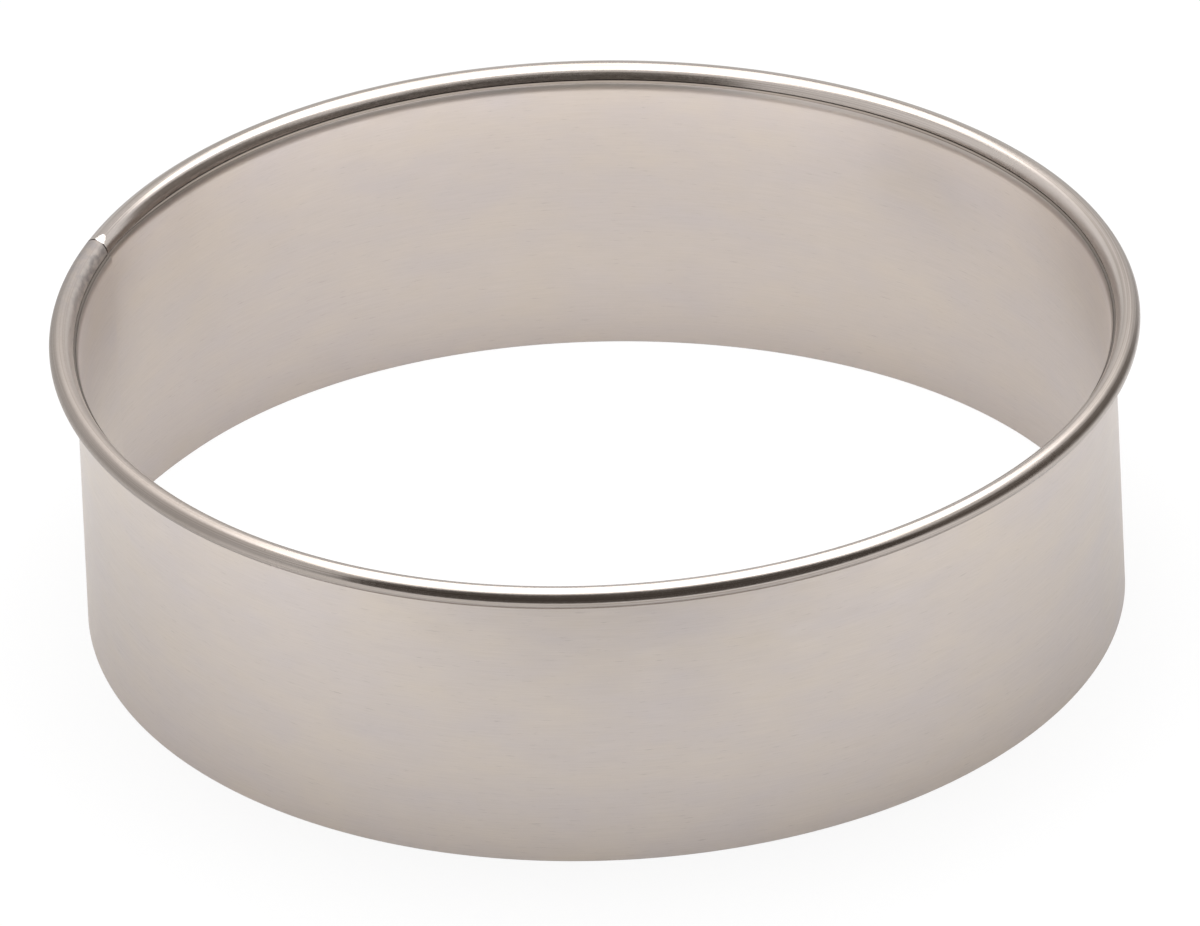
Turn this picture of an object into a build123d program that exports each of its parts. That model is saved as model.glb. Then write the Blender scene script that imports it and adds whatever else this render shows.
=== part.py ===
from build123d import *
from math import asin, cos, degrees, pi, sin, sqrt
import os

# Round biscuit cutter of thin sheet metal, in millimetres.
# One strip is bent into a ring, lapped and spot welded at its seam. Its top edge is turned
# outwards, up and over a wire, so that the rim is a smooth round bead with no sharp edge.
# +Z is the axis of the ring, the cutting edge lies on z = 0, and -Y is the front.

# Ring
wall_diameter = 101.6          # outside of the wall, the size of the disc that it cuts
cutter_height = 31.75          # from the cutting edge to the top of the bead
sheet = 0.35                   # thickness of the strip
edge_break = 0.06              # burr taken off both corners of the cutting edge

# Rolled rim
wire_diameter = 1.34
wire_play = 0.05               # room all round between the wire and the sheet rolled over it
bead_stand_off = 1.45          # from the outside of the wall to the middle of the bead
neck_radius = 0.65             # bend of the inner face where the wall turns out under the bead
curl_seat_gap = 0.05           # from the raw edge of the curl to the shelf that it closes on

# Joint of the rim, where the two ends of the curl meet
joint_azimuth = 159.0          # degrees about +Z from +X: on the left, a little to the back
joint_gap = 0.2                # between the two ends of the curl, along the rim
dressed_length = 1.6           # flat filed on the top of one end, along the rim
dressed_depth = 0.12           # depth of that flat at the very end
wire_joint_turn = 75.0         # degrees from the joint of the curl on to the butt of the wire
wire_end_gap = 0.3             # between the two ends of the wire

# Lap seam of the wall, under the joint of the rim
lap_length = 6.0               # by which the outer end of the strip passes the joint
lap_gap = 0.02                 # between the two layers of the lap
joggle_length = 6.0            # over which the outer end steps out by one thickness
tongue_drop = 0.5              # from the start of the neck down to the top of the lap
tongue_corner = 1.2            # clipped off the two corners of the outer end

# Spot welds of the lap
weld_diameter = 2.4
weld_depth_share = 0.6         # of each sheet that a nugget reaches into
weld_height_shares = (0.15, 0.5, 0.85)   # of the height of the lap
weld_place_share = 0.5         # of the length of the lap, from the joint
electrode_diameter = 3.2
electrode_dome = 20.0          # radius of the electrode's tip
mark_depth = 0.03              # dimple that the electrodes leave on both faces

# Sizes that follow
wall_outer = wall_diameter / 2
wall_inner = wall_outer - sheet
wire_radius = wire_diameter / 2
curl_inner = wire_radius + wire_play
curl_outer = curl_inner + sheet
bead_radius = wall_outer + bead_stand_off
bead_height = cutter_height - curl_outer
neck_start = bead_height - curl_inner - neck_radius
curl_end = 180 + degrees(asin((curl_inner - curl_seat_gap) / curl_outer))
lap_shift = sheet + lap_gap
tongue_top = neck_start - tongue_drop
half_gap = degrees(joint_gap / bead_radius) / 2
half_wire_gap = degrees(wire_end_gap / bead_radius) / 2
joggle_turn = degrees(joggle_length / wall_outer)
lap_turn = degrees(lap_length / wall_outer)
joggle_steps = 4


def bead_arc(radius):
    """Arc about the middle of the bead, from its lowest point round to the raw edge of the curl."""
    return CenterArc((bead_radius, bead_height), radius, -90, curl_end + 90)


def neck_arc(inner, radius):
    """Quarter bend from the wall, whose inner face is at inner, out to the level shelf."""
    return CenterArc((inner + neck_radius, neck_start), radius, 90, 90)


def strip_section(shift):
    """Section of wall, neck and curl, with wall and neck moved out by shift."""
    inner = wall_inner + shift
    outer = wall_outer + shift
    skin = bead_arc(curl_outer)
    lining = bead_arc(curl_inner)
    under_neck = neck_arc(inner, neck_radius - sheet)
    over_neck = neck_arc(inner, neck_radius)
    lines = [
        Line((inner + edge_break, 0), (outer - edge_break, 0)),
        Line((outer - edge_break, 0), (outer, edge_break)),
        Line((outer, edge_break), under_neck @ 1),
        under_neck,
        Line(under_neck @ 0, skin @ 0),
        skin,
        Line(skin @ 1, lining @ 1),
        lining,
        Line(lining @ 0, over_neck @ 0),
        over_neck,
        Line(over_neck @ 1, (inner, edge_break)),
        Line((inner, edge_break), (inner + edge_break, 0)),
    ]
    return Plane.XZ * make_face(lines)


def tongue_section():
    """Section of the bare wall of the outer end, below the neck."""
    inner = wall_inner + lap_shift
    outer = wall_outer + lap_shift
    points = [
        (inner + edge_break, 0),
        (outer - edge_break, 0),
        (outer, edge_break),
        (outer, tongue_top),
        (inner, tongue_top),
        (inner, edge_break),
    ]
    return Plane.XZ * make_face(Polyline(*points, close=True))


def sector(section, start, end):
    """Section turned about the axis, from one azimuth to the other."""
    return Rot(0, 0, start) * revolve(section, Axis.Z, end - start)


def corner_clip(height, upwards):
    """Wedge that takes one corner off the outer end, at the height of that corner."""
    leg = tongue_corner if upwards else -tongue_corner
    outline = Polyline((0, height), (0, height + leg), (-tongue_corner, height), close=True)
    across = wall_inner + lap_shift + sheet / 2
    wedge = extrude(Plane.YZ * make_face(outline), sheet, both=True)
    return Rot(0, 0, joint_azimuth + lap_turn) * Pos(across, 0, 0) * wedge


def tongue():
    """Outer end of the strip behind the front end, with its corners clipped."""
    plain = sector(tongue_section(), joint_azimuth - half_gap, joint_azimuth + lap_turn)
    return plain - corner_clip(0, True) - corner_clip(tongue_top, False)


def joggle():
    """Stretch before the joint in which wall and neck step out by one thickness."""
    sections = []
    for step in range(joggle_steps + 1):
        share = step / joggle_steps
        eased = share * share * (3 - 2 * share)
        azimuth = joint_azimuth - half_gap - joggle_turn * (1 - share)
        sections.append(Rot(0, 0, azimuth) * strip_section(lap_shift * eased))
    return loft(sections)


def dressing():
    """Wedge that files the flat on the top of the curl's one end."""
    points = [
        (-dressed_length, cutter_height),
        (0, cutter_height - dressed_depth),
        (0, cutter_height + dressed_depth),
        (-dressed_length, cutter_height + dressed_depth),
    ]
    wedge = extrude(Plane.YZ * make_face(Polyline(*points, close=True)), curl_outer, both=True)
    return Rot(0, 0, joint_azimuth - half_gap) * Pos(bead_radius, 0, 0) * wedge


def weld_frames(radius):
    """Places of the welds at a radius, each with its Z pointing out of the ring."""
    azimuth = joint_azimuth + lap_turn * weld_place_share
    return [Rot(0, 0, azimuth) * Pos(radius, 0, tongue_top * share) * Rot(0, 90, 0) for share in weld_height_shares]


def nugget():
    """Lens of melted metal that ties the two layers."""
    half = weld_diameter / 2
    depth = sheet * weld_depth_share
    dome = (half ** 2 + depth ** 2) / (2 * depth)
    level = depth - dome + sqrt(dome ** 2 - (half / 2) ** 2)
    upper = ThreePointArc((0, depth), (half / 2, level), (half, 0))
    lower = ThreePointArc((half, 0), (half / 2, -level), (0, -depth))
    return revolve(Plane.XZ * make_face([upper, lower, Line((0, -depth), (0, depth))]), Axis.Z)


def electrode():
    """Domed tip that stands on z = 0 and reaches up from there."""
    half = electrode_diameter / 2
    rise = electrode_dome - sqrt(electrode_dome ** 2 - half ** 2)
    level = electrode_dome - sqrt(electrode_dome ** 2 - (half / 2) ** 2)
    top = rise + sheet
    tip = ThreePointArc((0, 0), (half / 2, level), (half, rise))
    sides = Polyline((half, rise), (half, top), (0, top), (0, 0))
    return revolve(Plane.XZ * make_face([tip, sides]), Axis.Z)


def spot_welds():
    """The nuggets of the lap seam, one above the other."""
    return Compound([frame * nugget() for frame in weld_frames(wall_outer + lap_gap / 2)])


def band():
    """The strip: wall, neck and curl all round, lapped at the seam."""
    start = joint_azimuth + half_gap
    end = joint_azimuth + 360 - half_gap - joggle_turn
    strip = sector(strip_section(0), start, end) + joggle()
    strip = strip + tongue() - dressing()
    for frame in weld_frames(wall_outer + lap_shift - mark_depth):
        strip -= frame * electrode()
    for frame in weld_frames(wall_inner + mark_depth):
        strip -= frame * Rot(180, 0, 0) * electrode()
    return strip - spot_welds()


def rim_wire():
    """The wire inside the bead, a ring with its two ends butted."""
    butt = joint_azimuth + wire_joint_turn
    circle = Plane.XZ * Pos(bead_radius, bead_height) * Circle(wire_radius)
    return sector(circle, butt + half_wire_gap, butt + 360 - half_wire_gap)


os.makedirs("parts", exist_ok=True)
export_step(band(), "parts/band.step")
export_step(rim_wire(), "parts/rim_wire.step")
export_step(spot_welds(), "parts/spot_welds.step")
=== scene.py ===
import bpy
import math
from mathutils import Matrix, Vector


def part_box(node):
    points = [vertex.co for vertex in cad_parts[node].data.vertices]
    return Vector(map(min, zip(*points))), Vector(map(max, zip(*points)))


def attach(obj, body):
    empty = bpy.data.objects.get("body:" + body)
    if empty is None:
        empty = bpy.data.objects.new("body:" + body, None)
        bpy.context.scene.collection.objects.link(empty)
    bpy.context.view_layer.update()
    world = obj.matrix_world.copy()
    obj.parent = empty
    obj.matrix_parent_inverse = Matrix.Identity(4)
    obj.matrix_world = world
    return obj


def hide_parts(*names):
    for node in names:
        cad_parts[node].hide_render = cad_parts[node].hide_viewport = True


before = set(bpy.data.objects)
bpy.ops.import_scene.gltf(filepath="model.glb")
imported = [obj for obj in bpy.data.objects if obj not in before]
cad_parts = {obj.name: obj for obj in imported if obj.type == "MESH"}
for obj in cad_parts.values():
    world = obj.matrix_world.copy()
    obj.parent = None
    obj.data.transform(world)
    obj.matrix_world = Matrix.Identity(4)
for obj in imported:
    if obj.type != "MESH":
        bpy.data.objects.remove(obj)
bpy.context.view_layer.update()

# Units
MM = 0.001
TURN = 2 * math.pi

# Sizes read from the frame
band_low, band_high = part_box("band")
wire_low, wire_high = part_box("rim_wire")
CUTTER_HEIGHT = band_high.z
BEAD_HEIGHT = (wire_low.z + wire_high.z) / 2
CURL_OUTER = CUTTER_HEIGHT - BEAD_HEIGHT
BEAD_RADIUS = band_high.x - CURL_OUTER
WIRE_RADIUS = (wire_high.z - wire_low.z) / 2

# Sizes of the strip
SHEET = 0.35 * MM
CURL_INNER = CURL_OUTER - SHEET
EDGE_BREAK = 0.06 * MM
BEAD_STAND_OFF = 1.45 * MM
WALL_OUTER = BEAD_RADIUS - BEAD_STAND_OFF
WALL_INNER = WALL_OUTER - SHEET
SHELF = BEAD_HEIGHT - CURL_INNER

# The bead's inner side, pressed nearly flat over the neck
FLAT_START = math.radians(148)          # angle of the section at which the flat begins
FLAT_RADIUS = 3.3 * MM
FLAT_TURN = math.radians(17)
PAINTED_REFLECTION_FROM = math.radians(112)         # angle of the section from which the inner side gets a painted reflection
PAINTED_REFLECTION_EASE = math.radians(42)
# Neck under the bead
NECK_LEAN = math.radians(23)
NECK_FOOT_BEND = 1.60 * MM              # radius out of the wall
NECK_SLANT = 0.20 * MM                  # straight length above that
NECK_TOP_BEND = 0.36 * MM               # radius on to the shelf
NECK_CREST = 0.32 * MM                  # height over the shelf

# Joint of the rim and lap of the wall
JOINT = math.radians(159)
HALF_GAP = 0.1 * MM / BEAD_RADIUS
DRESSED_LENGTH = 1.3 * MM
DRESSED_DEPTH = 0.12 * MM
DRESSED_ANGLE = math.radians(116)       # of the filed flat's normal in the section
DRESSED_EDGE = 0.01 * MM                # depth over which the filed flat's lighter metal and painted glint come in
LAP_LENGTH = 6.0 * MM
LAP_GAP = 0.02 * MM
LAP_SHIFT = SHEET + LAP_GAP
JOGGLE_LENGTH = 14.0 * MM
TONGUE_TOP = SHELF - 1.15 * MM
TONGUE_CORNER = 1.2 * MM
WIRE_JOINT = JOINT + math.radians(75)
HALF_WIRE_GAP = 0.15 * MM / BEAD_RADIUS

# Spot welds
WELD_RADIUS = 1.2 * MM
WELD_DEPTH = 0.6 * SHEET
WELD_HEIGHTS = [TONGUE_TOP * share for share in (0.15, 0.5, 0.85)]
WELD_TURN = JOINT + LAP_LENGTH / WALL_OUTER / 2
ELECTRODE_DOME = 20.0 * MM
MARK_DEPTH = 0.008 * MM
MARK_RADIUS = math.sqrt(2 * ELECTRODE_DOME * MARK_DEPTH)

# Where the bead is rubbed dull, as azimuths
WORN_LEFT_END = math.radians(244)
WORN_RIGHT_START = math.radians(310)
WORN_RIGHT_END = math.radians(404)
WORN_RIGHT_SHARE = 0.6
WORN_EASE = math.radians(25)
SCUFF_END = JOINT + math.radians(26)
SCUFF_EASE = math.radians(22)

# How much less painted shade lies in the crevice under the bead on the two sides
CREVICE_EASE = 0.15

# Painted shade: how much darker the sheet is low on the inside, halfway up the outside, and on the two
# sides
PAINTED_SHADE_INSIDE = 0.72
PAINTED_SHADE_INNER_TOP = 0.12
PAINTED_SHADE_INNER_SIDES = 0.06
PAINTED_SHADE_OUTSIDE = 0.26
PAINTED_SHADE_OUTER_SIDES = 0.50
# a patch of painted shade, sized by this line and the next four
SHADE_PATCH = 0.3                            # on the inside, at the back right under the bead
SHADE_PATCH_TURN = math.radians(46)
SHADE_PATCH_HEIGHT = 27 * MM
SHADE_PATCH_LENGTH = 9 * MM
SHADE_PATCH_RISE = 7 * MM

# Marks in the sheet: their size along and across the strip
GRAIN_SIZE = (5 * MM, 0.12 * MM)
BLOTCH_SIZE = (9 * MM, 4 * MM)
CLOUD_SIZE = (30 * MM, 14 * MM)
PEEL_SIZE = (0.5 * MM, 0.35 * MM)
DASH_SIZE = (1.8 * MM, 0.16 * MM)
STREAK_SIZE = (40 * MM, 0.11 * MM)
PATCH_SIZE = (1.3 * MM, 0.8 * MM)
NICK_SPACING = (7 * MM, 2.2 * MM)
BUMP_DEPTH = 0.01 * MM

# Colours of the sheet
STEEL_WARM = (0.693, 0.620, 0.553, 1.0)
STEEL_COOL = (0.651, 0.594, 0.572, 1.0)
GRAIN_GREY = (0.45, 0.40, 0.37, 1.0)
DASH_BROWN = (0.33, 0.29, 0.27, 1.0)
# colour of the painted shade on the wall
PAINTED_SHADE_BROWN = (0.15, 0.13, 0.12, 1.0)
BEAD_LIGHT = (0.45, 0.402, 0.372, 1.0)
BEAD_DARK = (0.42, 0.375, 0.34, 1.0)
STREAK_BROWN = (0.20, 0.17, 0.145, 1.0)
NICK_BROWN = (0.12, 0.10, 0.09, 1.0)
WORN_BROWN = (0.25, 0.215, 0.19, 1.0)
# painted reflection on the bead's flat inner side
PAINTED_REFLECTION_GREY = (0.66, 0.60, 0.56, 1.0)
SCUFF_GREY = (0.25, 0.23, 0.225, 1.0)
# painted shade on the neck's slant under the bead
SLANT_PAINTED_SHADE = (0.22, 0.195, 0.18, 1.0)
# painted shade in the crevice under the bead
CREVICE_PAINTED_SHADE = (0.085, 0.070, 0.058, 1.0)
# lighter filed metal, partly a painted glint
FILED_METAL_AND_GLINT = (0.90, 0.86, 0.82, 1.0)

# How far those colours are mixed in at the most
PAINTED_SHADE_STRENGTH = 0.5
WORN_STRENGTH = 0.62
PAINTED_REFLECTION_STRENGTH = 0.8
SLANT_PAINTED_SHADE_STRENGTH = 0.35

# Spacing of the lines and columns of the mesh
WALL_STEP = 1.6 * MM
MARK_STEP = 0.28 * MM
COLUMN_STEP = 0.8 * MM
JOGGLE_STEP = 0.35 * MM
DRESSED_STEP = 0.12 * MM
WIRE_STEP = 1.4 * MM
CURL_STEP = math.radians(8)
NECK_STEPS = 12
FLAT_STEPS = 9
TONGUE_STEPS = 20
SHARP_ANGLE = math.radians(38)

# How far the ring is bent out of round: shares of the radius for two and three lobes
SETTLE_SHRINK = 0.3 * MM
SETTLE_SHIFT = -0.25 * MM
SETTLE_AT_BEAD = (0.00464, -0.00993, 0.00549, 0.00196)
SETTLE_AT_FOOT = (0.02248, -0.01060, 0.00450, 0.00342)

# Camera, fitted to the outlines in the photograph
CAMERA_DISTANCE = 800 * MM
CAMERA_ELEVATION = math.radians(31.596)
CAMERA_TILT = math.radians(59.280)
CAMERA_YAW = math.radians(-0.018)
CAMERA_ROLL = math.radians(-2.747)
CAMERA_LENS = 240.84
CAMERA_SENSOR = 36.0


def settled(radius, turn, height):
    """Place of a point of the round ring once the ring is bent out of round."""
    share = min(max(height / BEAD_HEIGHT, 0), 1)
    lobes = [foot + (bead - foot) * share for foot, bead in zip(SETTLE_AT_FOOT, SETTLE_AT_BEAD)]
    swell = lobes[0] * math.cos(2 * turn) + lobes[1] * math.sin(2 * turn)
    swell += lobes[2] * math.cos(3 * turn) + lobes[3] * math.sin(3 * turn)
    reach = (radius - SETTLE_SHRINK) * (1 + swell)
    return Vector((reach * math.cos(turn) + SETTLE_SHIFT, reach * math.sin(turn), height))


def eased(share):
    """Smooth step from 0 to 1."""
    share = min(max(share, 0), 1)
    return share * share * (3 - 2 * share)


def spaced(start, end, step):
    """Values from start up to end, about a step apart, without the end itself."""
    count = max(1, round(abs(end - start) / step))
    return [start + (end - start) * index / count for index in range(count)]


def new_object(name, vertices, faces):
    """Mesh object with smooth shading up to its sharp edges."""
    mesh = bpy.data.meshes.new(name)
    mesh.from_pydata(vertices, [], faces)
    mesh.validate()
    mesh.shade_smooth()
    mesh.set_sharp_from_angle(angle=SHARP_ANGLE)
    item = bpy.data.objects.new(name, mesh)
    bpy.context.scene.collection.objects.link(item)
    return item


def add_attribute(item, name, values):
    """Vector stored at each point, for the materials to read."""
    attribute = item.data.attributes.new(name, "FLOAT_VECTOR", "POINT")
    attribute.data.foreach_set("vector", [part for value in values for part in value])


class Station:
    """One line along the strip: where its outer and inner face run in the section."""

    def __init__(self, skin, lining, follow, across, rolled, neck, painted_reflection=0):
        self.skin = skin
        self.lining = lining
        self.follow = follow        # share of the joggle that this line follows
        self.across = across        # distance from the cutting edge, measured in the sheet
        self.rolled = rolled        # 0 on the wall, 1 on the bead
        self.neck = neck            # up to 1 on the neck, 2 in the crevice under the bead, 0 elsewhere
        # share of painted reflection on the bead's inner side
        self.painted_reflection = painted_reflection        # 1 on the flat inner side of the bead, 0 elsewhere


def wall_heights():
    """Heights of the lines on the wall, close together where the welds leave their marks."""
    heights = [EDGE_BREAK, TONGUE_CORNER]
    low = TONGUE_CORNER
    for mark in WELD_HEIGHTS:
        heights += spaced(low, mark - MARK_RADIUS, WALL_STEP)[1:]
        heights += spaced(mark - MARK_RADIUS, mark + MARK_RADIUS, MARK_STEP)
        low = mark + MARK_RADIUS
    heights += spaced(low, TONGUE_TOP - TONGUE_CORNER, WALL_STEP)
    heights += [TONGUE_TOP - TONGUE_CORNER, TONGUE_TOP - TONGUE_CORNER / 2, TONGUE_TOP]
    return heights


def neck_lines():
    """Lines of the neck: a bend out of the wall, a slant, and a bend on to the shelf under the bead."""
    slope = NECK_LEAN
    bends = NECK_FOOT_BEND * math.sin(slope) + NECK_TOP_BEND * (1 - math.sin(slope))
    start = SHELF + NECK_CREST - bends - NECK_SLANT * math.cos(slope)
    places = []
    for step in range(NECK_STEPS + 1):
        lean = slope * step / NECK_STEPS
        radius = WALL_INNER + NECK_FOOT_BEND * (1 - math.cos(lean))
        places.append((lean, radius, start + NECK_FOOT_BEND * math.sin(lean), step / NECK_STEPS))
    foot_radius = places[-1][1]
    foot_height = places[-1][2]
    for share in (0.5, 1):
        run = NECK_SLANT * share
        places.append((slope, foot_radius + run * math.sin(slope), foot_height + run * math.cos(slope), 1))
    neck_radius = places[-1][1]
    neck_height = places[-1][2]
    for share in (0.2, 0.4, 0.6, 0.8, 1):
        lean = slope + (math.pi / 2 - slope) * share
        radius = neck_radius + NECK_TOP_BEND * (math.cos(slope) - math.cos(lean))
        places.append((lean, radius, neck_height + NECK_TOP_BEND * (math.sin(lean) - math.sin(slope)), 2))
    lines = []
    across = start
    for index, (lean, radius, height, neck) in enumerate(places):
        if index:
            across += math.dist(places[index - 1][1:3], (radius, height))
        skin = (radius + SHEET * math.cos(lean), height - SHEET * math.sin(lean))
        lines.append(Station(skin, (radius, height), 1, across, 0, neck))
    return lines


def curl_lines(curl_from):
    """Lines of the curl, from under the wire round to its raw edge."""
    lines = []
    for angle in spaced(-math.pi / 2, FLAT_START, CURL_STEP) + [FLAT_START]:
        skin = (BEAD_RADIUS + CURL_OUTER * math.cos(angle), BEAD_HEIGHT + CURL_OUTER * math.sin(angle))
        lining = (BEAD_RADIUS + CURL_INNER * math.cos(angle), BEAD_HEIGHT + CURL_INNER * math.sin(angle))
        turned = (angle + math.pi / 2) * (CURL_INNER + CURL_OUTER) / 2
        # share of painted reflection on the bead's inner side, eased in from its angle
        painted_reflection = eased((angle - PAINTED_REFLECTION_FROM) / PAINTED_REFLECTION_EASE)
        lines.append(Station(skin, lining, 0, curl_from + turned, 1, 0, painted_reflection))
    centre = BEAD_RADIUS + (CURL_OUTER - FLAT_RADIUS) * math.cos(FLAT_START)
    level = BEAD_HEIGHT + (CURL_OUTER - FLAT_RADIUS) * math.sin(FLAT_START)
    inner = FLAT_RADIUS - SHEET
    for step in range(1, FLAT_STEPS + 1):
        angle = FLAT_START + FLAT_TURN * step / FLAT_STEPS
        skin = (centre + FLAT_RADIUS * math.cos(angle), level + FLAT_RADIUS * math.sin(angle))
        lining = (centre + inner * math.cos(angle), level + inner * math.sin(angle))
        across = lines[-1].across + FLAT_TURN * (FLAT_RADIUS - SHEET / 2) / FLAT_STEPS
        painted_reflection = eased((angle - PAINTED_REFLECTION_FROM) / PAINTED_REFLECTION_EASE)
        lines.append(Station(skin, lining, 0, across, 1, 0, painted_reflection))
    return lines


def stations():
    """All lines of the strip, from the cutting edge to the raw edge of the curl."""
    lines = [Station((WALL_OUTER - EDGE_BREAK, 0), (WALL_INNER + EDGE_BREAK, 0), 1, 0, 0, 0)]
    for height in wall_heights():
        lines.append(Station((WALL_OUTER, height), (WALL_INNER, height), 1, height, 0, 0))
    lines += neck_lines()
    crest = lines[-1]
    length = BEAD_RADIUS - crest.lining[0]
    for share in (0.3, 0.65):
        reach = crest.lining[0] + length * share
        drop = (crest.lining[1] - SHELF) * min(1, share / 0.5)
        lining = (reach, crest.lining[1] - drop)
        skin = (reach, lining[1] - SHEET)
        lines.append(Station(skin, lining, 1 - share, crest.across + length * share, share, 2))
    return lines + curl_lines(crest.across + length)


def worn_share(turn):
    """How dull the bead is worn: all the way left of the joint, and a little on the right."""
    left = eased((WORN_LEFT_END - turn) / WORN_EASE)
    right = eased((turn - WORN_RIGHT_START) / WORN_EASE) * eased((WORN_RIGHT_END - turn) / WORN_EASE)
    return max(left, WORN_RIGHT_SHARE * right)


def painted_shade_share(turn, height, side):
    """How much painted shade the wall gets at a place of its outer (0) or inner (1) face."""
    level = min(1, height / SHELF)
    sideways = math.cos(turn) ** 2
    if side == 0:
        return PAINTED_SHADE_OUTSIDE * 4 * level * (1 - level) + PAINTED_SHADE_OUTER_SIDES * sideways
    beside = (turn - TURN - SHADE_PATCH_TURN) * WALL_INNER / SHADE_PATCH_LENGTH
    above = (height - SHADE_PATCH_HEIGHT) / SHADE_PATCH_RISE
    # patch of painted shade under the bead at the back right
    shade_patch = SHADE_PATCH * math.exp(-beside * beside - above * above)
    inside = PAINTED_SHADE_INNER_TOP + PAINTED_SHADE_INSIDE * (1 - level ** 4)
    return inside + PAINTED_SHADE_INNER_SIDES * sideways + shade_patch


def fold(line, turn, side):
    """Where painted shade goes on the neck and in the crevice of the inner face (0 to 2), and painted
    reflection on the bead's inner side (0 to -1).
    """
    sideways = math.cos(turn) ** 2
    if side == 0:
        return -line.painted_reflection * sideways
    return line.neck - CREVICE_EASE * sideways * max(0, line.neck - 1)


def scuffed_share(turn):
    """How scuffed the front end of the bead is, just left of the joint."""
    return eased((SCUFF_END - turn) / SCUFF_EASE)


def strip_turns():
    """Azimuths of the columns of the strip, from the front end round to the back end."""
    start = JOINT + HALF_GAP
    end = JOINT + TURN - HALF_GAP
    lap = LAP_LENGTH / WALL_OUTER
    joggle = JOGGLE_LENGTH / WALL_OUTER
    dressed = DRESSED_LENGTH / BEAD_RADIUS
    turns = spaced(start, start + lap, MARK_STEP / WALL_OUTER)
    turns += spaced(start + lap, end - joggle, COLUMN_STEP / WALL_OUTER)
    turns += spaced(end - joggle, end - dressed, JOGGLE_STEP / WALL_OUTER)
    turns += spaced(end - dressed, end, DRESSED_STEP / WALL_OUTER)
    return turns + [end]


def tongue_reach(height):
    """Length of the tongue at a height, shorter where its corners are clipped."""
    clipped = max(0, TONGUE_CORNER - height) + max(0, TONGUE_CORNER - (TONGUE_TOP - height))
    return LAP_LENGTH + HALF_GAP * WALL_OUTER - clipped


def weld_mark(turn, height):
    """Depth of the electrodes' dimples at a place on the lap."""
    depth = 0
    for weld_height in WELD_HEIGHTS:
        beside = (turn - WELD_TURN) * WALL_OUTER
        above = height - weld_height
        apart = (beside * beside + above * above) / (MARK_RADIUS * MARK_RADIUS)
        depth = max(depth, MARK_DEPTH * (1 - apart))
    return depth


def file_flat(radius, height, distance):
    """Point of the curl once its end is filed flat, and how much of it is filed, which sets the filed
    metal's lighter colour with a painted glint.
    """
    out = math.cos(DRESSED_ANGLE)
    up = math.sin(DRESSED_ANGLE)
    limit = CURL_OUTER - DRESSED_DEPTH * (1 - distance / DRESSED_LENGTH)
    over = (radius - BEAD_RADIUS) * out + (height - BEAD_HEIGHT) * up - limit
    if over <= 0:
        return radius, height, 0
    return radius - over * out, height - over * up, min(1, over / DRESSED_EDGE)


def make_band():
    """The strip as one closed mesh: wall, neck and curl all round, and the tongue under the joint."""
    lines = stations()
    turns = strip_turns()
    tongue_lines = sum(1 for line in lines if line.neck == 0 and line.across <= TONGUE_TOP + MM / 1e6)
    end = turns[-1]
    tongue_shares = [index / TONGUE_STEPS for index in range(1, TONGUE_STEPS + 1)]
    columns = len(turns) + len(tongue_shares)
    vertices = []
    strip = []
    finish_and_painted_light = []
    wear_and_painted_shade = []
    number = {}
    for column in range(columns):
        on_tongue = column >= len(turns)
        for row, line in enumerate(lines):
            if on_tongue and row >= tongue_lines:
                continue
            if on_tongue:
                share = tongue_shares[column - len(turns)]
                turn = end + share * tongue_reach(line.skin[1]) / WALL_OUTER
                shift = LAP_SHIFT
            else:
                turn = turns[column]
                shift = LAP_SHIFT * eased(1 - (end - turn) * WALL_OUTER / JOGGLE_LENGTH)
            for side, (radius, height) in enumerate((line.skin, line.lining)):
                radius += shift * line.follow
                if side == 0 and on_tongue:
                    radius -= weld_mark(turn - TURN, height)
                if side == 1 and column < len(turns) and line.rolled == 0:
                    radius += weld_mark(turn, height)
                filed = 0
                if side == 0 and line.rolled == 1 and turn > end - DRESSED_LENGTH / BEAD_RADIUS:
                    radius, height, filed = file_flat(radius, height, (end - turn) * BEAD_RADIUS)
                number[column, row, side] = len(vertices)
                vertices.append(settled(radius, turn, height))
                strip.append(((turn - JOINT) * WALL_OUTER, line.across, side))
                # rolled share, filed share with its painted glint, and where painted shade and painted
                # reflection go
                finish_and_painted_light.append((line.rolled, filed, fold(line, turn, side)))
                # wear, scuffs, and the painted shade of the wall
                wear_and_painted_shade.append((worn_share(turn), scuffed_share(turn), painted_shade_share(turn, height, side)))
    cells = set()
    for column in range(columns - 1):
        rows = len(lines) if column + 1 < len(turns) else tongue_lines
        for row in range(rows - 1):
            cells.add((column, row))
    faces = []
    for column, row in sorted(cells):
        corners = [(column, row), (column + 1, row), (column + 1, row + 1), (column, row + 1)]
        skin = [number[place[0], place[1], 0] for place in corners]
        lining = [number[place[0], place[1], 1] for place in corners]
        faces.append(skin)
        faces.append(lining[::-1])
        beside = [(column, row - 1), (column + 1, row), (column, row + 1), (column - 1, row)]
        for index, cell in enumerate(beside):
            if cell not in cells:
                following = (index + 1) % 4
                faces.append([skin[following], skin[index], lining[index], lining[following]])
    band = new_object("band_sheet", vertices, faces)
    add_attribute(band, "strip", strip)
    add_attribute(band, "finish_and_painted_light", finish_and_painted_light)
    add_attribute(band, "wear_and_painted_shade", wear_and_painted_shade)
    return band


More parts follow.
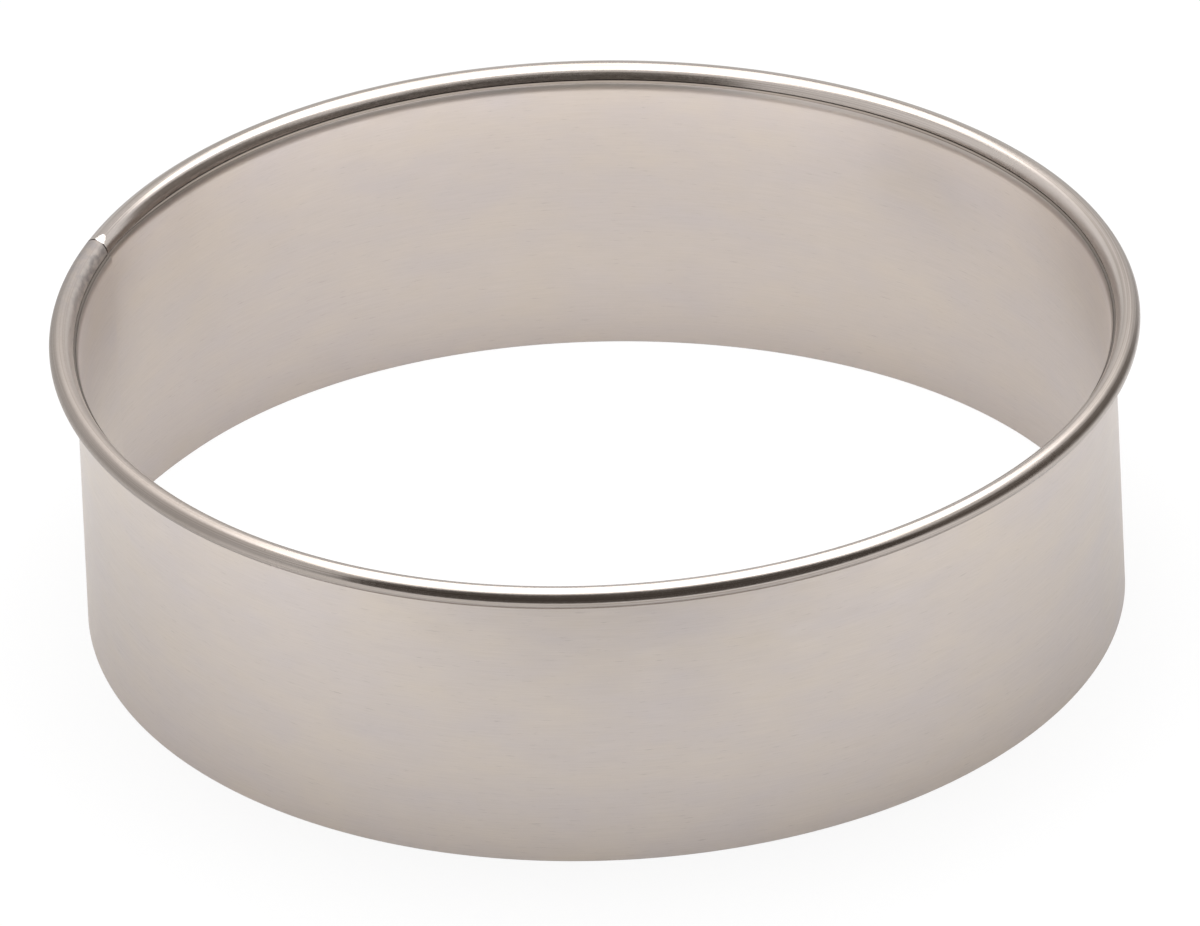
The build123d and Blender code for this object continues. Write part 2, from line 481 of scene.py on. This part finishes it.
def make_wire():
    """Stiffening wire inside the curl, with its ends butted."""
    vertices = []
    strip = []
    faces = []
    first_end = WIRE_JOINT + HALF_WIRE_GAP
    second_end = WIRE_JOINT + TURN - HALF_WIRE_GAP
    turns = spaced(first_end, second_end, WIRE_STEP / BEAD_RADIUS) + [second_end]
    sides = 20
    for turn in turns:
        for side in range(sides):
            angle = TURN * side / sides
            radius = BEAD_RADIUS + WIRE_RADIUS * math.cos(angle)
            vertices.append(settled(radius, turn, BEAD_HEIGHT + WIRE_RADIUS * math.sin(angle)))
            strip.append((turn * BEAD_RADIUS, WIRE_RADIUS * math.cos(angle), WIRE_RADIUS * math.sin(angle)))
    for column in range(len(turns) - 1):
        for side in range(sides):
            first = column * sides + side
            second = column * sides + (side + 1) % sides
            faces.append([first, first + sides, second + sides, second])
    faces.append([side for side in range(sides)])
    faces.append([len(vertices) - 1 - side for side in range(sides)])
    wire = new_object("stiffening_wire", vertices, faces)
    add_attribute(wire, "strip", strip)
    return wire


def make_welds():
    """Nuggets of melted metal between the two layers of the lap."""
    vertices = []
    faces = []
    rings = 5
    sides = 24
    middle = WALL_OUTER + LAP_GAP / 2
    for height in WELD_HEIGHTS:
        for face in (1, -1):
            centre = len(vertices)
            vertices.append(settled(middle + face * WELD_DEPTH, WELD_TURN, height))
            inner_rings = rings if face == 1 else rings - 1
            for ring in range(1, inner_rings + 1):
                out = WELD_RADIUS * ring / rings
                bulge = WELD_DEPTH * (1 - (ring / rings) ** 2)
                for side in range(sides):
                    angle = TURN * side / sides
                    turn = WELD_TURN + out * math.cos(angle) / WALL_OUTER
                    vertices.append(settled(middle + face * bulge, turn, height + out * math.sin(angle)))
            starts = [centre + 1 + sides * ring for ring in range(inner_rings)]
            if face == 1:
                rim = starts[-1]
            else:
                starts.append(rim)
            for side in range(sides):
                after = (side + 1) % sides
                faces.append([centre, starts[0] + side, starts[0] + after][::face])
                for near, far in zip(starts, starts[1:]):
                    faces.append([near + side, far + side, far + after, near + after][::face])
    return new_object("weld_nuggets", vertices, faces)


class Nodes:
    """Small helper that builds a material's node tree."""

    def __init__(self, name):
        self.material = bpy.data.materials.new(name)
        self.material.use_nodes = True
        self.tree = self.material.node_tree
        self.shader = self.tree.nodes["Principled BSDF"]

    def add(self, kind, inputs=(), **settings):
        """Node with its settings, and its inputs by name or number, linked or set."""
        node = self.tree.nodes.new(kind)
        for key, value in settings.items():
            setattr(node, key, value)
        for key, value in dict(inputs).items():
            self.put(node.inputs[key], value)
        return node

    def put(self, socket, value):
        """Links a socket to another one, or sets its value."""
        if isinstance(value, bpy.types.NodeSocket):
            self.tree.links.new(value, socket)
        else:
            socket.default_value = value

    def math(self, operation, first, second=0.0, third=0.0):
        """Result of a sum."""
        return self.add("ShaderNodeMath", {0: first, 1: second, 2: third}, operation=operation).outputs[0]

    def scaled(self, vector, factors):
        """Vector times a factor for each of its parts."""
        node = self.add("ShaderNodeVectorMath", {0: vector, 1: factors}, operation="MULTIPLY")
        return node.outputs[0]

    def noise(self, vector, detail=2.0, roughness=0.5):
        """Noise from 0 to 1 about a half."""
        inputs = {"Vector": vector, "Scale": 1.0, "Detail": detail, "Roughness": roughness}
        return self.add("ShaderNodeTexNoise", inputs).outputs["Fac"]

    def marks(self, strip, size, layer, detail=3.0, roughness=0.6):
        """Noise whose spots have a size along and across the strip; the layer keeps its two faces apart."""
        return self.noise(self.scaled(strip, (1 / size[0], 1 / size[1], layer)), detail, roughness)

    def spread(self, value, low, high, to_low=0.0, to_high=1.0):
        """Value stretched from one range on to another, held inside it."""
        inputs = {"Value": value, "From Min": low, "From Max": high, "To Min": to_low, "To Max": to_high}
        return self.add("ShaderNodeMapRange", inputs).outputs["Result"]

    def blend(self, share, first, second):
        """Mix of two colours."""
        node = self.add("ShaderNodeMix", {"Factor": share}, data_type="RGBA")
        self.put(node.inputs[6], first)
        self.put(node.inputs[7], second)
        return node.outputs[2]

    def attribute(self, name):
        """Stored vector of the mesh."""
        return self.add("ShaderNodeAttribute", attribute_name=name).outputs["Vector"]

    def parts(self, vector):
        """The three parts of a vector."""
        return self.add("ShaderNodeSeparateXYZ", {0: vector}).outputs


def sheet_steel():
    """Satin rolled sheet: grain along the strip, soft mottling, smoother where it was rolled, with painted
    shade on the wall, the neck and under the bead, a painted reflection on the bead's inner side and a
    painted glint on the filed flat.
    """
    kit = Nodes("sheet_steel")
    strip = kit.attribute("strip")
    finish_and_painted_light = kit.parts(kit.attribute("finish_and_painted_light"))
    rolled = finish_and_painted_light["X"]
    dressed = finish_and_painted_light["Y"]
    fold_place = finish_and_painted_light["Z"]
    wear_and_painted_shade = kit.parts(kit.attribute("wear_and_painted_shade"))
    worn = wear_and_painted_shade["X"]
    scuffed = wear_and_painted_shade["Y"]
    painted_shade = wear_and_painted_shade["Z"]
    grain = kit.marks(strip, GRAIN_SIZE, 17.0)
    blotch = kit.marks(strip, BLOTCH_SIZE, 31.0, roughness=0.55)
    cloud = kit.marks(strip, CLOUD_SIZE, 53.0, 2.0, 0.5)
    peel = kit.marks(strip, PEEL_SIZE, 71.0)
    dashes = kit.marks(strip, DASH_SIZE, 7.0, 2.0, 0.5)
    streak = kit.marks(strip, STREAK_SIZE, 23.0, 2.0, 0.5)
    patch = kit.marks(strip, PATCH_SIZE, 91.0)

    # Wall
    mottle = kit.math("ADD", kit.math("MULTIPLY", blotch, 0.6), kit.math("MULTIPLY", cloud, 0.4))
    wall = kit.blend(kit.spread(mottle, 0.35, 0.65), STEEL_WARM, STEEL_COOL)
    wall = kit.blend(kit.spread(grain, 0.3, 0.7, 0.0, 0.12), wall, GRAIN_GREY)
    wall = kit.blend(kit.spread(dashes, 0.64, 0.78, 0.0, 0.35), wall, DASH_BROWN)
    # painted shade: darker low inside, halfway up outside, on the two sides and in a patch under the bead
    wall = kit.blend(kit.math("MULTIPLY", painted_shade, PAINTED_SHADE_STRENGTH), wall, PAINTED_SHADE_BROWN)

    # Bead, with the lines of its rolling and a few nicks
    bead = kit.blend(kit.spread(blotch, 0.35, 0.65), BEAD_LIGHT, BEAD_DARK)
    bead = kit.blend(kit.spread(streak, 0.46, 0.64, 0.0, 0.55), bead, STREAK_BROWN)
    cells = kit.scaled(strip, (1 / NICK_SPACING[0], 1 / NICK_SPACING[1], 13.0))
    nearest = kit.add("ShaderNodeTexVoronoi", {"Vector": cells, "Scale": 1.0}).outputs["Distance"]
    bead = kit.blend(kit.spread(nearest, 0.02, 0.045, 0.4, 0.0), bead, NICK_BROWN)

    # Both, with wear and scuffs, painted shade on the neck and in the crevice, a painted reflection on the
    # bead's inner side, and a painted glint on the filed flat
    tone = kit.blend(rolled, wall, bead)
    worn_bead = kit.math("MULTIPLY", worn, rolled)
    tone = kit.blend(kit.math("MULTIPLY", worn_bead, WORN_STRENGTH), tone, WORN_BROWN)
    # painted reflection on the bead's flat inner side, on the two sides
    painted_reflection = kit.math("MULTIPLY", kit.math("MINIMUM", fold_place, 0.0), -PAINTED_REFLECTION_STRENGTH)
    tone = kit.blend(painted_reflection, tone, PAINTED_REFLECTION_GREY)
    scuffed_bead = kit.math("MULTIPLY", scuffed, rolled)
    scuff = kit.math("MULTIPLY", scuffed_bead, kit.spread(patch, 0.4, 0.62, 0.15, 0.75))
    tone = kit.blend(scuff, tone, SCUFF_GREY)
    # painted shade on the neck under the bead, darkest toward the bend
    slant = kit.math("POWER", kit.spread(fold_place, 0.0, 1.0), 3.0)
    tone = kit.blend(kit.math("MULTIPLY", slant, SLANT_PAINTED_SHADE_STRENGTH), tone, SLANT_PAINTED_SHADE)
    # painted shade in the crevice under the bead
    tone = kit.blend(kit.spread(fold_place, 1.0, 1.8, 0.0, 0.9), tone, CREVICE_PAINTED_SHADE)
    # lighter filed metal, partly a painted glint, on the filed flat
    tone = kit.blend(dressed, tone, FILED_METAL_AND_GLINT)
    kit.put(kit.shader.inputs["Base Color"], tone)

    wall_rough = kit.spread(grain, 0.3, 0.7, 0.36, 0.44)
    bright_rough = kit.spread(peel, 0.3, 0.7, 0.17, 0.24)
    worn_rough = kit.math("MULTIPLY", worn, kit.spread(peel, 0.3, 0.7, 0.22, 0.27))
    bead_rough = kit.math("ADD", bright_rough, worn_rough)
    smoothed = kit.math("MAXIMUM", rolled, kit.math("MULTIPLY", slant, 0.4))
    rough = kit.add("ShaderNodeMix", {"Factor": smoothed}, data_type="FLOAT")
    kit.put(rough.inputs[2], wall_rough)
    kit.put(rough.inputs[3], bead_rough)
    kit.put(kit.shader.inputs["Roughness"], rough.outputs[0])
    kit.shader.inputs["Metallic"].default_value = 1.0
    height = kit.math("ADD", kit.math("MULTIPLY", grain, 0.5), kit.math("MULTIPLY", peel, 0.25))
    bump = kit.add("ShaderNodeBump", {"Height": height, "Strength": 0.25, "Distance": BUMP_DEPTH})
    kit.put(kit.shader.inputs["Normal"], bump.outputs["Normal"])
    return kit.material


def wire_steel():
    """Drawn wire with lines along it."""
    kit = Nodes("wire_steel")
    strip = kit.attribute("strip")
    lines = kit.noise(kit.scaled(strip, (1 / (6 * MM), 1 / (0.05 * MM), 1 / (0.05 * MM))), 3.0, 0.6)
    tone = kit.blend(kit.spread(lines, 0.3, 0.7), (0.42, 0.40, 0.38, 1.0), (0.34, 0.32, 0.30, 1.0))
    kit.put(kit.shader.inputs["Base Color"], tone)
    kit.put(kit.shader.inputs["Roughness"], kit.spread(lines, 0.3, 0.7, 0.3, 0.45))
    kit.shader.inputs["Metallic"].default_value = 1.0
    return kit.material


def weld_steel():
    """Dull melted metal."""
    kit = Nodes("weld_steel")
    place = kit.add("ShaderNodeTexCoord").outputs["Object"]
    grit = kit.noise(kit.scaled(place, (1 / (0.3 * MM),) * 3), 3.0, 0.6)
    tone = kit.blend(kit.spread(grit, 0.3, 0.7), (0.36, 0.34, 0.32, 1.0), (0.27, 0.25, 0.24, 1.0))
    kit.put(kit.shader.inputs["Base Color"], tone)
    kit.put(kit.shader.inputs["Roughness"], kit.spread(grit, 0.3, 0.7, 0.5, 0.65))
    kit.shader.inputs["Metallic"].default_value = 1.0
    return kit.material


# Light: a low soft light over the ring, a dark flag on the camera's side, white all round
WORLD_FOR_FLOOR = 0.55
LAMP_HEIGHT = 160 * MM
LAMP_FRONT = -100 * MM
LAMP_BACK = 130 * MM
LAMP_WIDTH = 260 * MM
LAMP_SHIFT = 4 * MM
LAMP_RADIANCE = 2.6
FLAG_LEFT = -95 * MM
FLAG_RIGHT = 150 * MM
FLAG_FRONT = -100 * MM
FLAG_BACK = 110 * MM
FLAG_TOP = 110 * MM
FLAG_GREYS = (0.13, 0.22)                # in front and on the right
FLOOR_GLOW = 0.85                       # share of plain white that the camera sees in the floor
FLOOR_DROP = 0.01 * MM
FLOOR_HALF = 3.0


def quad(name, corners, material):
    """Flat four-cornered piece of the stage."""
    mesh = bpy.data.meshes.new(name)
    mesh.from_pydata(corners, [], [[0, 1, 2, 3]])
    mesh.materials.append(material)
    item = bpy.data.objects.new(name, mesh)
    bpy.context.scene.collection.objects.link(item)
    return item


def make_world():
    """White for the camera and in reflections, softer where it lights the floor."""
    world = bpy.data.worlds.new("studio")
    bpy.context.scene.world = world
    world.use_nodes = True
    tree = world.node_tree
    background = tree.nodes["Background"]
    background.inputs["Color"].default_value = (1, 1, 1, 1)
    path = tree.nodes.new("ShaderNodeLightPath")
    seen = tree.nodes.new("ShaderNodeMath")
    seen.operation = "MAXIMUM"
    tree.links.new(path.outputs["Is Camera Ray"], seen.inputs[0])
    tree.links.new(path.outputs["Is Glossy Ray"], seen.inputs[1])
    seen_too = tree.nodes.new("ShaderNodeMath")
    seen_too.operation = "MAXIMUM"
    tree.links.new(seen.outputs[0], seen_too.inputs[0])
    tree.links.new(path.outputs["Is Transmission Ray"], seen_too.inputs[1])
    level = tree.nodes.new("ShaderNodeMapRange")
    tree.links.new(seen_too.outputs[0], level.inputs["Value"])
    level.inputs["To Min"].default_value = WORLD_FOR_FLOOR
    level.inputs["To Max"].default_value = 1.0
    tree.links.new(level.outputs["Result"], background.inputs["Strength"])


def make_floor():
    """Plain white floor that keeps the shadow of the ring."""
    kit = Nodes("floor_white")
    kit.shader.inputs["Base Color"].default_value = (0.93, 0.93, 0.93, 1)
    kit.shader.inputs["Roughness"].default_value = 0.9
    kit.shader.inputs["Specular IOR Level"].default_value = 0.0
    glow = kit.add("ShaderNodeEmission", {"Color": (1, 1, 1, 1), "Strength": 1.0})
    path = kit.add("ShaderNodeLightPath")
    share = kit.math("MULTIPLY", path.outputs["Is Camera Ray"], FLOOR_GLOW)
    mix = kit.add("ShaderNodeMixShader", {0: share, 1: kit.shader.outputs[0], 2: glow.outputs[0]})
    output = kit.tree.nodes["Material Output"]
    kit.put(output.inputs["Surface"], mix.outputs[0])
    half = FLOOR_HALF
    low = -FLOOR_DROP
    corners = [(-half, -half, low), (half, -half, low), (half, half, low), (-half, half, low)]
    quad("floor", corners, kit.material)


def make_flag():
    """Dark flag on the camera's side, seen only in reflections."""
    places = [(FLAG_LEFT, FLAG_FRONT), (FLAG_RIGHT, FLAG_FRONT), (FLAG_RIGHT, FLAG_BACK)]
    for index, (near, far) in enumerate(zip(places, places[1:])):
        kit = Nodes(f"flag_grey_{index}")
        glow = kit.add("ShaderNodeEmission", {"Color": (1, 0.9, 0.82, 1), "Strength": FLAG_GREYS[index]})
        kit.put(kit.tree.nodes["Material Output"].inputs["Surface"], glow.outputs[0])
        corners = [(*near, 0), (*far, 0), (*far, FLAG_TOP), (*near, FLAG_TOP)]
        flag = quad(f"flag_{index}", corners, kit.material)
        flag.visible_camera = False
        flag.visible_diffuse = False
        flag.visible_transmission = False
        flag.visible_shadow = False


def make_lamp():
    """Soft light over the ring."""
    data = bpy.data.lights.new("softbox", "AREA")
    data.shape = "RECTANGLE"
    data.size = LAMP_WIDTH
    data.size_y = LAMP_BACK - LAMP_FRONT
    data.energy = LAMP_RADIANCE * math.pi * data.size * data.size_y
    lamp = bpy.data.objects.new("softbox", data)
    lamp.location = (LAMP_SHIFT, (LAMP_BACK + LAMP_FRONT) / 2, LAMP_HEIGHT)
    lamp.visible_camera = False
    bpy.context.scene.collection.objects.link(lamp)


def make_camera():
    """Camera at the photograph's place and angle."""
    data = bpy.data.cameras.new("camera")
    data.lens = CAMERA_LENS
    data.sensor_width = CAMERA_SENSOR
    data.clip_start = 0.01
    data.clip_end = 20
    camera = bpy.data.objects.new("camera", data)
    back = CAMERA_DISTANCE * math.cos(CAMERA_ELEVATION)
    up = CAMERA_DISTANCE * math.sin(CAMERA_ELEVATION)
    turned = Matrix.Rotation(CAMERA_TILT, 4, "X") @ Matrix.Rotation(CAMERA_YAW, 4, "Y")
    turned = turned @ Matrix.Rotation(CAMERA_ROLL, 4, "Z")
    camera.matrix_world = Matrix.Translation((SETTLE_SHIFT, -back, up)) @ turned
    bpy.context.scene.collection.objects.link(camera)
    bpy.context.scene.camera = camera


def dress(item, material, node):
    """Gives a piece its material and its place in the frame."""
    item.data.materials.append(material)
    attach(item, "root")
    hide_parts(node)


bpy.context.scene.view_settings.view_transform = "Standard"
make_camera()
make_world()
make_floor()
make_flag()
make_lamp()
dress(make_band(), sheet_steel(), "band")
dress(make_wire(), wire_steel(), "rim_wire")
dress(make_welds(), weld_steel(), "spot_welds")
